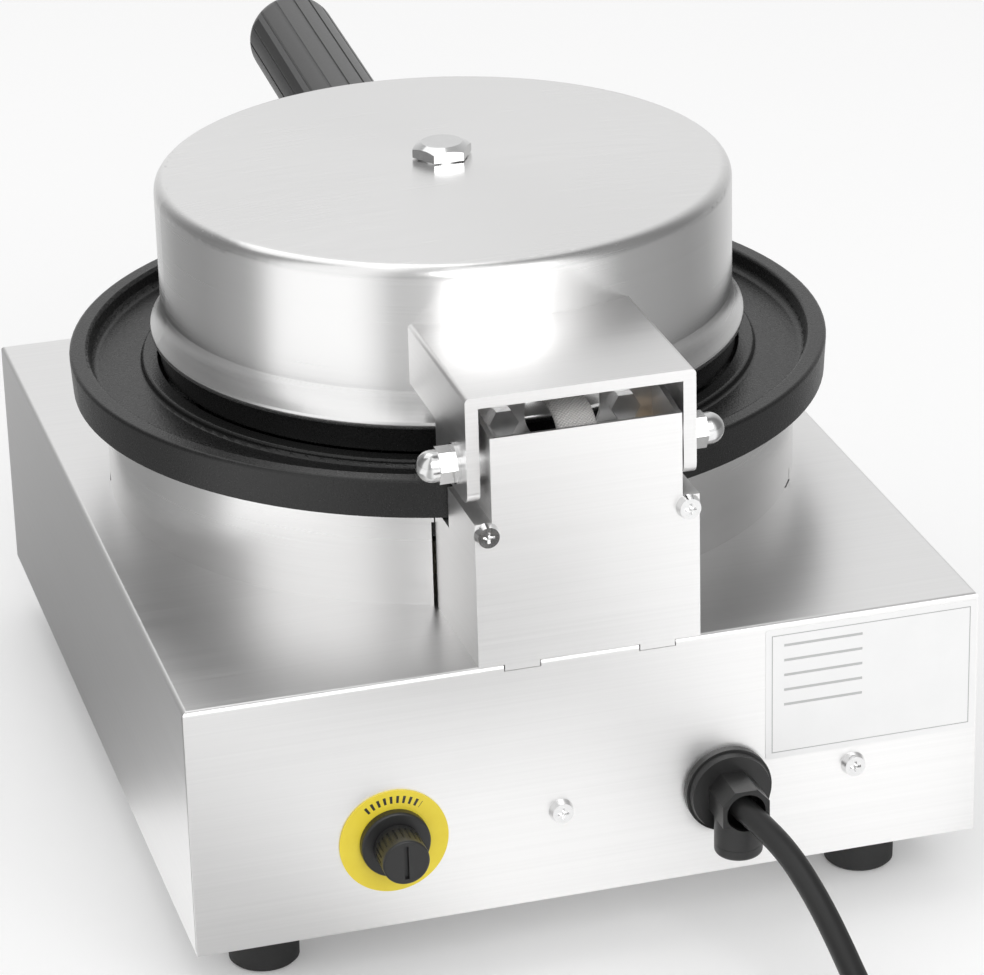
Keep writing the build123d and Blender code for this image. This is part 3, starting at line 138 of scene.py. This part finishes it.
class Finish:
    """A material, with one method that adds any node."""

    def __init__(self, name, **constants):
        self.material = bpy.data.materials.new(name)
        self.material.use_nodes = True
        self.tree = self.material.node_tree
        self.shader = self.tree.nodes["Principled BSDF"]
        for socket, value in constants.items():
            self.shader.inputs[socket.replace("_", " ")].default_value = value
        self.place = self.node("ShaderNodeTexCoord", out="Object")
        split = self.tree.nodes.new("ShaderNodeSeparateXYZ")
        join(self.tree, split.inputs[0], self.place)
        self.x, self.y, self.z = (Wire(self.tree, s) for s in split.outputs)

    def node(self, kind, sockets=None, out=0, **settings):
        node = self.tree.nodes.new(kind)
        for key, value in settings.items():
            setattr(node, key, value)
        for key, value in (sockets or {}).items():
            join(self.tree, node.inputs[key], value)
        return Wire(self.tree, node.outputs[out])

    def vector(self, x, y, z):
        return self.node("ShaderNodeCombineXYZ", {"X": x, "Y": y, "Z": z})

    def noise(self, vector, scale=1.0, detail=3.0, rough=0.55):
        sockets = {"Vector": vector, "Scale": scale, "Detail": detail, "Roughness": rough}
        return self.node("ShaderNodeTexNoise", sockets)

    def facing(self):
        """How far the surface faces along X and up, each from 0 to 1."""
        normal = self.node("ShaderNodeNewGeometry", out="Normal")
        turned = self.node(
            "ShaderNodeVectorTransform", {"Vector": normal}, vector_type="NORMAL", convert_from="WORLD",
            convert_to="OBJECT",
        )
        split = self.tree.nodes.new("ShaderNodeSeparateXYZ")
        join(self.tree, split.inputs[0], turned)
        return abs(Wire(self.tree, split.outputs[0])), abs(Wire(self.tree, split.outputs[2]))

    def blend(self, amount, first, second):
        """Colour or plain mix of two colours by an amount."""
        node = self.tree.nodes.new("ShaderNodeMix")
        node.data_type = "RGBA"
        join(self.tree, node.inputs["Factor"], amount)
        join(self.tree, node.inputs[6], first)
        join(self.tree, node.inputs[7], second)
        return Wire(self.tree, node.outputs[2])

    def paint(self, **wires):
        for socket, value in wires.items():
            join(self.tree, self.shader.inputs[socket.replace("_", " ")], value)
        return self

    def bump(self, height, strength, depth=0.0002):
        sockets = {"Height": height, "Strength": strength, "Distance": depth}
        return self.paint(Normal=self.node("ShaderNodeBump", sockets))


def shade(grey, warm=0.0):
    return (grey * (1 + warm), grey, grey * (1 - warm), 1)


# Metals
grain_fine, grain_long = 1500.0, 7.0
side_facing = 0.7


def brushed(name, grain, light, rough, anisotropic=0.0):
    """Brushed sheet. The grain runs along X, along the faces of a box, or round a drum."""
    f = Finish(name, Metallic=1.0, Anisotropic=anisotropic, Anisotropic_Rotation=0.25)
    along_x = f.vector(f.x * grain_long, f.y * grain_fine, f.z * grain_fine)
    across_x, up = f.facing()
    if grain == "box":
        along_y = f.vector(f.x * grain_fine, f.y * grain_long, f.z * grain_fine)
        side = across_x.over(side_facing)
    else:
        along_y = f.vector(f.x * grain_long, f.y * grain_long, f.z * grain_fine)
        side = 1 - up.over(side_facing)
    streak_x, streak_y = f.noise(along_x), f.noise(along_y)
    streak = streak_x + (streak_y - streak_x) * side
    smudge = f.noise(f.place, scale=14.0, detail=4.0)
    tone = f.blend(streak, shade(light - 0.05, 0.004), shade(light + 0.04, 0.004))
    f.paint(Base_Color=tone, Roughness=rough + (streak - 0.5) * 0.12 + (smudge - 0.5) * 0.06)
    return f.bump(streak, 0.05, 0.00006)


def polished(name, light, rough, warm=0.0):
    """Bright turned or plated metal with faint handling marks."""
    f = Finish(name, Metallic=1.0)
    marks = f.noise(f.place, scale=260.0, detail=5.0)
    tone = f.blend(marks, shade(light - 0.06, warm), shade(light + 0.04, warm))
    f.paint(Base_Color=tone, Roughness=rough + (marks - 0.5) * 0.12)
    return f.bump(marks, 0.08, 0.00005)


def element_skin():
    """Scaled sheath of a tubular heater."""
    f = Finish("element_skin", Metallic=0.8)
    scale = f.noise(f.place, scale=180.0, detail=5.0)
    tone = f.blend(scale, (0.09, 0.08, 0.075, 1), (0.27, 0.24, 0.21, 1))
    f.paint(Base_Color=tone, Roughness=0.4 + scale * 0.3)
    return f.bump(scale, 0.2)


# Coated casting, plastics and rubber
def coated_casting():
    """Black non-stick coating with the sparkle of a rough casting."""
    f = Finish("coated_casting")
    grit = f.noise(f.place, scale=1500.0, detail=2.0)
    cloud = f.noise(f.place, scale=22.0, detail=3.0)
    f.paint(
        Base_Color=f.blend(cloud, shade(0.006), shade(0.013)),
        Roughness=0.30 + (grit - 0.5) * 0.3 + (cloud - 0.5) * 0.08,
    )
    return f.bump(grit, 0.5, 0.0002)


def moulded(name, low, high, rough, grain=1100.0, strength=0.12):
    """Moulded plastic or rubber, with a fine texture and a slow change of tone."""
    f = Finish(name)
    texture = f.noise(f.place, scale=grain, detail=2.0)
    cloud = f.noise(f.place, scale=35.0, detail=3.0)
    roughness = rough + (texture - 0.5) * 0.14 + (cloud - 0.5) * 0.08
    f.paint(Base_Color=f.blend(cloud, low, high), Roughness=roughness)
    return f.bump(texture, strength, 0.0001)


grip_rise = math.radians(5.0)
grip_outer_r, flute_edge, grip_end = 0.016, 0.00018, 0.003


def fluted_grip():
    """Black grip whose flutes are paler than its lands."""
    f = Finish("fluted_grip")
    low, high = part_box("handle_grip")
    foot = Vector((0, high[1], low[2] + grip_outer_r))
    rise = f.z - foot.z + (f.y - foot.y) * math.tan(grip_rise)
    radius = (f.x * f.x + rise * rise).root()
    texture = f.noise(f.place, scale=900.0, detail=2.0)
    cloud = f.noise(f.place, scale=35.0, detail=3.0)
    land = f.blend(cloud, shade(0.010), shade(0.018))
    flute = radius.under(grip_outer_r - flute_edge) * f.y.under(foot.y - grip_end)
    f.paint(Base_Color=f.blend(flute, land, shade(0.10)), Roughness=0.36 + (texture - 0.5) * 0.14)
    return f.bump(texture, 0.12, 0.0001)


# Printed and marked pieces
stroke_in_r, stroke_out_r, stroke_half_arc, strokes_per_turn = 0.0128, 0.0152, 0.66, 44.0


def marked_ring():
    """Yellow ring with a row of plain strokes over the cap."""
    f = Finish("marked_ring")
    centre_x = (reset_low[0] + reset_high[0]) / 2
    centre_z = (reset_low[2] + reset_high[2]) / 2
    across, rise = f.x - centre_x, f.z - centre_z
    radius = (across * across + rise * rise).root()
    turn = across.angle(rise)
    band = radius.over(stroke_in_r) * radius.under(stroke_out_r)
    strokes = (turn * strokes_per_turn).sin().over(0.25) * abs(turn).under(stroke_half_arc)
    cloud = f.noise(f.place, scale=240.0)
    yellow = f.blend(cloud, (0.80, 0.62, 0.035, 1), (0.88, 0.72, 0.06, 1))
    f.paint(Base_Color=f.blend(band * strokes, yellow, shade(0.03)), Roughness=0.38 + (cloud - 0.5) * 0.1)
    return f.bump(cloud, 0.04)


label_margin, label_line = 0.002, 0.0003
rules_up, rules_half_h, rules_from, rules_margin = 0.007, 0.0115, 0.003, 0.006
rules_pitch = 2 * math.pi / 1250.0


def blank_label():
    """White film with a thin frame and plain rules."""
    f = Finish("blank_label")
    middle_x = (label_low[0] + label_high[0]) / 2
    middle_z = (label_low[2] + label_high[2]) / 2
    across, rise = f.x - middle_x, f.z - middle_z
    half_w, half_h = (label_high[0] - label_low[0]) / 2, (label_high[2] - label_low[2]) / 2
    inner_w, inner_h = half_w - label_margin - label_line, half_h - label_margin - label_line
    inside = abs(across).under(half_w - label_margin) * abs(rise).under(half_h - label_margin)
    line = inside * (1 - abs(across).under(inner_w) * abs(rise).under(inner_h))
    rows = (rise * (2 * math.pi / rules_pitch)).sin().over(0.86) * abs(rise - rules_up).under(rules_half_h)
    rules = rows * across.over(rules_from) * across.under(half_w - rules_margin)
    cloud = f.noise(f.place, scale=90.0)
    white = f.blend(cloud, shade(0.88), shade(0.93))
    f.paint(Base_Color=f.blend(line + rules * 0.8, white, shade(0.42)), Roughness=0.42 + (cloud - 0.5) * 0.08)
    return f.bump(cloud, 0.03)


# Woven and fibrous pieces
warp_wave, weft_wave = 5200.0, 4200.0


def woven(name, low, high):
    """Plain weave that follows the sleeve over its bend."""
    f = Finish(name, Roughness=0.85, Sheen_Weight=0.2)
    warp = (f.x * warp_wave).sin()
    weft = ((f.y - f.z) * weft_wave).sin()
    crossing = warp * weft
    fibre = f.noise(f.place, scale=1600.0)
    f.paint(Base_Color=f.blend(crossing * 0.35 + 0.4 + (fibre - 0.5) * 0.5, low, high))
    return f.bump(crossing + fibre * 0.5, 0.6, 0.0003)


def fibrous(name, low, high):
    """Mineral wool with its fibres lying flat."""
    f = Finish(name, Roughness=0.95)
    fibre = f.noise(f.vector(f.x * 90, f.y * 90, f.z * 900), detail=5.0)
    f.paint(Base_Color=f.blend(fibre, low, high))
    return f.bump(fibre, 0.8, 0.001)


lens_wave = 5000.0


def lens_glass(name, deep, bright):
    """Ribbed coloured lens of a pilot lamp."""
    f = Finish(name, Coat_Weight=0.5)
    ridge = (f.x * lens_wave).sin()
    cloud = f.noise(f.place, scale=300.0)
    f.paint(Base_Color=f.blend(cloud, deep, bright), Roughness=0.12 + cloud * 0.1)
    return f.bump(ridge, 0.15, 0.0001)


# One material for each finish, and the nodes that wear it
satin_box = brushed("satin_box", "box", 0.93, 0.34)
satin_drum = brushed("satin_drum", "drum", 0.91, 0.25, anisotropic=0.6)
satin_bracket = brushed("satin_bracket", "box", 0.88, 0.32)
bright_steel = polished("bright_steel", 0.80, 0.14)
plain_steel = polished("plain_steel", 0.74, 0.36)
turned_brass = polished("turned_brass", 0.55, 0.25, warm=0.35)
drawn_copper = polished("drawn_copper", 0.50, 0.30, warm=0.42)
casting = coated_casting()
element = element_skin()
grip_black = moulded("grip_black", shade(0.024), shade(0.036), 0.36)
fluted_black = fluted_grip()
black_plastic = moulded("black_plastic", shade(0.014), shade(0.022), 0.38)
cord_black = moulded("cord_black", shade(0.013), shade(0.019), 0.40, grain=700.0)
foot_rubber = moulded("foot_rubber", shade(0.018), shade(0.030), 0.62, strength=0.25)
red_plastic = moulded("red_plastic", (0.45, 0.02, 0.015, 1), (0.56, 0.03, 0.02, 1), 0.28)
ceramic = moulded("ceramic", shade(0.72, 0.03), shade(0.82, 0.03), 0.5, strength=0.2)
yellow_ring = marked_ring()
label_film = blank_label()
glass_sleeve = woven("glass_sleeve", shade(0.50, 0.02), shade(0.88, 0.02))
wool = fibrous("wool", (0.42, 0.38, 0.26, 1), (0.72, 0.68, 0.54, 1))
green_lens = lens_glass("green_lens", (0.02, 0.24, 0.06, 1), (0.05, 0.42, 0.12, 1))
amber_lens = lens_glass("amber_lens", (0.62, 0.24, 0.02, 1), (0.80, 0.36, 0.04, 1))

finishes = {
    satin_box: "housing bottom_cover column column_cover terminal_bracket heat_shield",
    satin_drum: "lid_shell drum",
    satin_bracket: "lid_arm",
    bright_steel: "base_screws panel_screws cap_nuts lid_bolt spindle handle_neck knob_shaft",
    plain_steel: "column_bolts clamp_bolt upper_nuts handle_rod hinge_spacers lower_clamp upper_clamp "
                 "thermostat",
    turned_brass: "plug_pins hinge_bushes",
    drawn_copper: "thermostat_bulb",
    casting: "pan upper_plate",
    element: "lower_element upper_element",
    fluted_black: "handle_grip",
    grip_black: "knob",
    black_plastic: "switch_body switch_rocker gland_body gland_clamp gland_nut reset_cap reset_bush "
                   "reset_nut lamp_bodies cutout cord_tie",
    cord_black: "plug_body",
    foot_rubber: "feet reset_seal",
    red_plastic: "reset_button",
    ceramic: "terminal_block",
    yellow_ring: "reset_plate",
    label_film: "rating_plate",
    glass_sleeve: "lid_leads inner_wiring",
    wool: "upper_insulation lower_insulation",
    green_lens: "lamp_lens_green",
    amber_lens: "lamp_lens_amber",
}
for finish, names in finishes.items():
    for name in names.split():
        nodes[name].data.materials.clear()
        nodes[name].data.materials.append(finish.material)


# Soft pieces
turn_steps, straight_start = 9, 0.004


def coil_route():
    """Points round the put-away coil: half turns in below, one climb, half turns out above."""
    start = Vector(cord_route[-1])
    centre = start + Vector((coil_outer_r, cord_d, 0))
    ends = []
    for half in range(coil_halves_in + coil_halves_out + 2):
        inner = min(half, 2 * coil_halves_in + 1 - half)
        radius = coil_outer_r - inner * coil_step / 2
        if inner == coil_halves_in:
            radius -= coil_reverse_inset
        side = -1 if half % 2 == 0 else 1
        level = 0 if half <= coil_halves_in else coil_step
        ends.append(centre + Vector((side * radius, 0, level)))
    step = math.pi / turn_steps
    points = []
    for half, (a, b) in enumerate(zip(ends, ends[1:])):
        middle = (a + b) / 2
        radius = abs(b.x - a.x) / 2 / math.cos(step / 2)
        first = math.pi if half % 2 == 0 else 0
        for i in range(turn_steps):
            turn = first - (i + 0.5) * step
            share = (i + 0.5) / turn_steps
            height = a.z + (b.z - a.z) * (1 - math.cos(math.pi * share)) / 2
            across, along = radius * math.cos(turn), radius * math.sin(turn)
            points.append((middle.x + across, middle.y + along, height))
    last = ends[-1]
    points.append((last.x, last.y + straight_start, last.z))
    points.append((last.x, last.y + coil_lead_out, last.z))
    return points


def nurbs(name, points, closed=False):
    """A smooth line drawn by its control points."""
    curve = bpy.data.curves.new(name, "CURVE")
    curve.dimensions = "3D"
    spline = curve.splines.new("NURBS")
    spline.points.add(len(points) - 1)
    for point, place in zip(spline.points, points):
        point.co = (*place, 1)
    spline.order_u = 3
    spline.use_cyclic_u = closed
    spline.use_endpoint_u = not closed
    item = bpy.data.objects.new(name, curve)
    bpy.context.scene.collection.objects.link(item)
    return item


def supply_cord():
    """The whole cord as one flexible line, from the gland to the plug."""
    cord = nurbs("cord_flex", cord_route + coil_route())
    cord.data.bevel_depth = cord_d / 2
    cord.data.bevel_resolution = 5
    cord.data.resolution_u = 8
    cord.data.use_fill_caps = True
    cord.data.materials.append(cord_black.material)
    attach(cord, "base")
    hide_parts("supply_cord", "supply_cord_coil")


sleeve_half_w, sleeve_half_t = 0.0063, 0.0022
section_points, section_roundness = 16, 0.6


def lead_sleeve():
    """Flat woven sleeve over the spindle, bending between the base and the lid."""
    low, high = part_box("lead_sleeve")
    y_down, z_over = high[1] - 0.003, high[2] - 0.003
    route = [
        (0, low[1] + 0.001, z_over),
        (0, low[1] + 0.020, z_over - 0.0006),
        (0, y_down - 0.022, z_over),
        (0, y_down - 0.008, z_over + 0.0004),
        (0, y_down - 0.0012, z_over - 0.004),
        (0, y_down, z_over - 0.012),
        (0, y_down - 0.0006, z_over - 0.030),
        (0, y_down, low[2] + 0.020),
        (0, y_down, low[2] + 0.001),
    ]
    spine = nurbs("woven_sleeve", route)
    section = []
    for i in range(section_points):
        a = 2 * math.pi * i / section_points
        width = sleeve_half_w * math.copysign(abs(math.cos(a)) ** section_roundness, math.cos(a))
        section.append((width, sleeve_half_t * math.sin(a), 0))
    profile = nurbs("sleeve_section", section, closed=True)
    spine.data.bevel_mode = "OBJECT"
    spine.data.bevel_object = profile
    spine.data.resolution_u = 10
    spine.data.use_fill_caps = True
    bpy.ops.object.select_all(action="DESELECT")
    spine.select_set(True)
    bpy.context.view_layer.objects.active = spine
    bpy.ops.object.convert(target="MESH")
    bpy.data.objects.remove(profile)
    sleeve = bpy.context.view_layer.objects.active
    sleeve.data.materials.clear()
    sleeve.data.materials.append(glass_sleeve.material)
    bpy.ops.object.mode_set(mode="EDIT")
    bpy.ops.mesh.select_all(action="SELECT")
    bpy.ops.mesh.remove_doubles(threshold=0.00001)
    bpy.ops.mesh.normals_make_consistent(inside=False)
    bpy.ops.object.mode_set(mode="OBJECT")
    bpy.ops.object.shade_smooth()
    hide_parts("lead_sleeve")
    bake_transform(sleeve)


dial_r, number_size, number_count, number_step = 0.0275, 0.0062, 6, 54
number_rise, number_bold = 0.00003, 0.00006


def dial_numbers():
    """Plain numbers round the thermostat knob, on the front of the housing."""
    knob_x, knob_z = (knob_low[0] + knob_high[0]) / 2, (knob_low[2] + knob_high[2]) / 2
    made = []
    for count in range(number_count):
        turn = math.radians(225 - number_step * count)
        bpy.ops.object.select_all(action="DESELECT")
        bpy.ops.object.text_add(location=(0, 0, 0))
        text = bpy.context.view_layer.objects.active
        text.data.body = str(count)
        text.data.size = number_size
        text.data.align_x, text.data.align_y = "CENTER", "CENTER"
        text.data.extrude = number_rise
        text.data.offset = number_bold
        bpy.ops.object.convert(target="MESH")
        text = bpy.context.view_layer.objects.active
        number_x, number_z = knob_x + dial_r * math.cos(turn), knob_z + dial_r * math.sin(turn)
        place = Matrix.Translation((number_x, housing_low[1] - number_rise, number_z))
        text.data.transform(place @ Matrix.Rotation(math.pi / 2, 4, "X"))
        made.append(text)
    bpy.ops.object.select_all(action="DESELECT")
    for text in made:
        text.select_set(True)
    bpy.context.view_layer.objects.active = made[0]
    bpy.ops.object.join()
    numbers = bpy.context.view_layer.objects.active
    numbers.name = "dial_numbers"
    numbers.data.materials.clear()
    numbers.data.materials.append(black_plastic.material)
    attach(numbers, "base")


supply_cord()
lead_sleeve()
dial_numbers()


# Floor, light and camera
floor_size, floor_drop = 9.0, 0.0003
world_level, lamp_shine = 0.78, 0.2
aim = Vector((0, 0.02, 0.1))
band_stops = [
    (-180, 0.20), (-166, 0.26), (-154, 0.42), (-137, 0.60), (-116, 0.78), (-90, 0.80), (-75, 0.60),
    (-64, 0.36), (-50, 0.22), (-28, 0.18), (-14, 0.24), (-3, 0.30), (3, 0.50), (10, 0.95), (17, 1.0),
    (42, 1.0), (49, 0.80), (56, 0.42), (68, 0.46), (76, 0.78), (84, 1.0), (124, 1.0), (132, 0.55),
    (142, 0.26), (155, 0.24), (180, 0.20),
]


def studio_bands(tree, turn):
    """Pale and grey panels round the object, by direction in degrees from +X."""
    share = turn * (0.5 / math.pi) + 0.5
    node = tree.nodes.new("ShaderNodeValToRGB")
    stops = node.color_ramp.elements
    while len(stops) < len(band_stops):
        stops.new(0.5)
    for stop, (degrees, level) in zip(stops, band_stops):
        stop.position = (degrees + 180) / 360
        stop.color = shade(level)
    join(tree, node.inputs[0], share)
    return Wire(tree, node.outputs[0])


def studio_floor():
    """Pale floor, which metal sees with the grey panels' reflections on it."""
    bpy.ops.object.select_all(action="DESELECT")
    bpy.ops.mesh.primitive_plane_add(size=floor_size, location=(0, 0, -floor_drop))
    floor = bpy.context.view_layer.objects.active
    floor.name = "studio_floor"
    f = Finish("pale_floor", Roughness=0.8, Specular_IOR_Level=0.1, Emission_Strength=1.0)
    paper = f.noise(f.place, scale=3.0)
    seen = f.node("ShaderNodeLightPath", out="Is Camera Ray")
    mirrored = f.node("ShaderNodeLightPath", out="Is Glossy Ray")
    pale = f.blend(paper, shade(0.90), shade(0.92))
    bands = studio_bands(f.tree, (f.y - lid_y).angle(f.x - lid_x))
    glow = f.blend(seen + mirrored, shade(0.0), shade(0.10))
    f.paint(Base_Color=f.blend(mirrored, pale, bands), Emission_Color=glow)
    floor.data.materials.append(f.material)


def studio_world():
    """White for the camera, and grey bands of a studio for what metal reflects."""
    world = bpy.data.worlds.new("studio_world")
    bpy.context.scene.world = world
    world.use_nodes = True
    tree = world.node_tree
    ambient = tree.nodes["Background"]
    ambient.inputs["Color"].default_value = shade(1.0)
    ambient.inputs["Strength"].default_value = world_level
    coordinate = tree.nodes.new("ShaderNodeTexCoord")
    split = tree.nodes.new("ShaderNodeSeparateXYZ")
    tree.links.new(coordinate.outputs["Generated"], split.inputs[0])
    x, y = (Wire(tree, s) for s in split.outputs[:2])
    panels = tree.nodes.new("ShaderNodeBackground")
    join(tree, panels.inputs["Color"], studio_bands(tree, y.angle(x)))
    white = tree.nodes.new("ShaderNodeBackground")
    white.inputs["Color"].default_value = shade(1.0)
    white.inputs["Strength"].default_value = 1.0
    rays = tree.nodes.new("ShaderNodeLightPath")
    lit, whole = tree.nodes.new("ShaderNodeMixShader"), tree.nodes.new("ShaderNodeMixShader")
    tree.links.new(rays.outputs["Is Glossy Ray"], lit.inputs[0])
    tree.links.new(ambient.outputs[0], lit.inputs[1])
    tree.links.new(panels.outputs[0], lit.inputs[2])
    tree.links.new(rays.outputs["Is Camera Ray"], whole.inputs[0])
    tree.links.new(lit.outputs[0], whole.inputs[1])
    tree.links.new(white.outputs[0], whole.inputs[2])
    tree.links.new(whole.outputs[0], tree.nodes["World Output"].inputs[0])


def softbox(name, place, size, power):
    """A square light panel aimed at the middle of the object."""
    light = bpy.data.lights.new(name, "AREA")
    light.size = size
    light.energy = power
    light.specular_factor = lamp_shine
    item = bpy.data.objects.new(name, light)
    bpy.context.scene.collection.objects.link(item)
    item.location = place
    item.rotation_euler = (aim - Vector(place)).to_track_quat("-Z", "Y").to_euler()


photo_width, focal_px, sensor = 984, 4154.0, 36.0
camera_place = Vector((0.32646, 1.24471, 0.65413))
camera_forward = Vector((-0.24482, -0.88052, -0.40589))
camera_right = Vector((-0.96008, 0.27858, -0.02526))


def camera():
    """The camera of the photograph, from behind and above."""
    lens = bpy.data.cameras.new("camera")
    lens.sensor_width = sensor
    lens.sensor_fit = "HORIZONTAL"
    lens.lens = focal_px * sensor / photo_width
    lens.clip_end = 50
    item = bpy.data.objects.new("camera", lens)
    bpy.context.scene.collection.objects.link(item)
    forward, right = camera_forward.normalized(), camera_right.normalized()
    turn = Matrix((right, right.cross(forward), -forward)).transposed()
    item.matrix_world = Matrix.Translation(camera_place) @ turn.to_4x4()
    bpy.context.scene.camera = item


studio_floor()
studio_world()
softbox("key_light", (-0.1, 1.7, 1.2), 1.3, 11.0)
softbox("top_light", (0.4, -0.5, 1.7), 1.2, 4.0)
camera()
bpy.context.scene.view_settings.view_transform = "Standard"
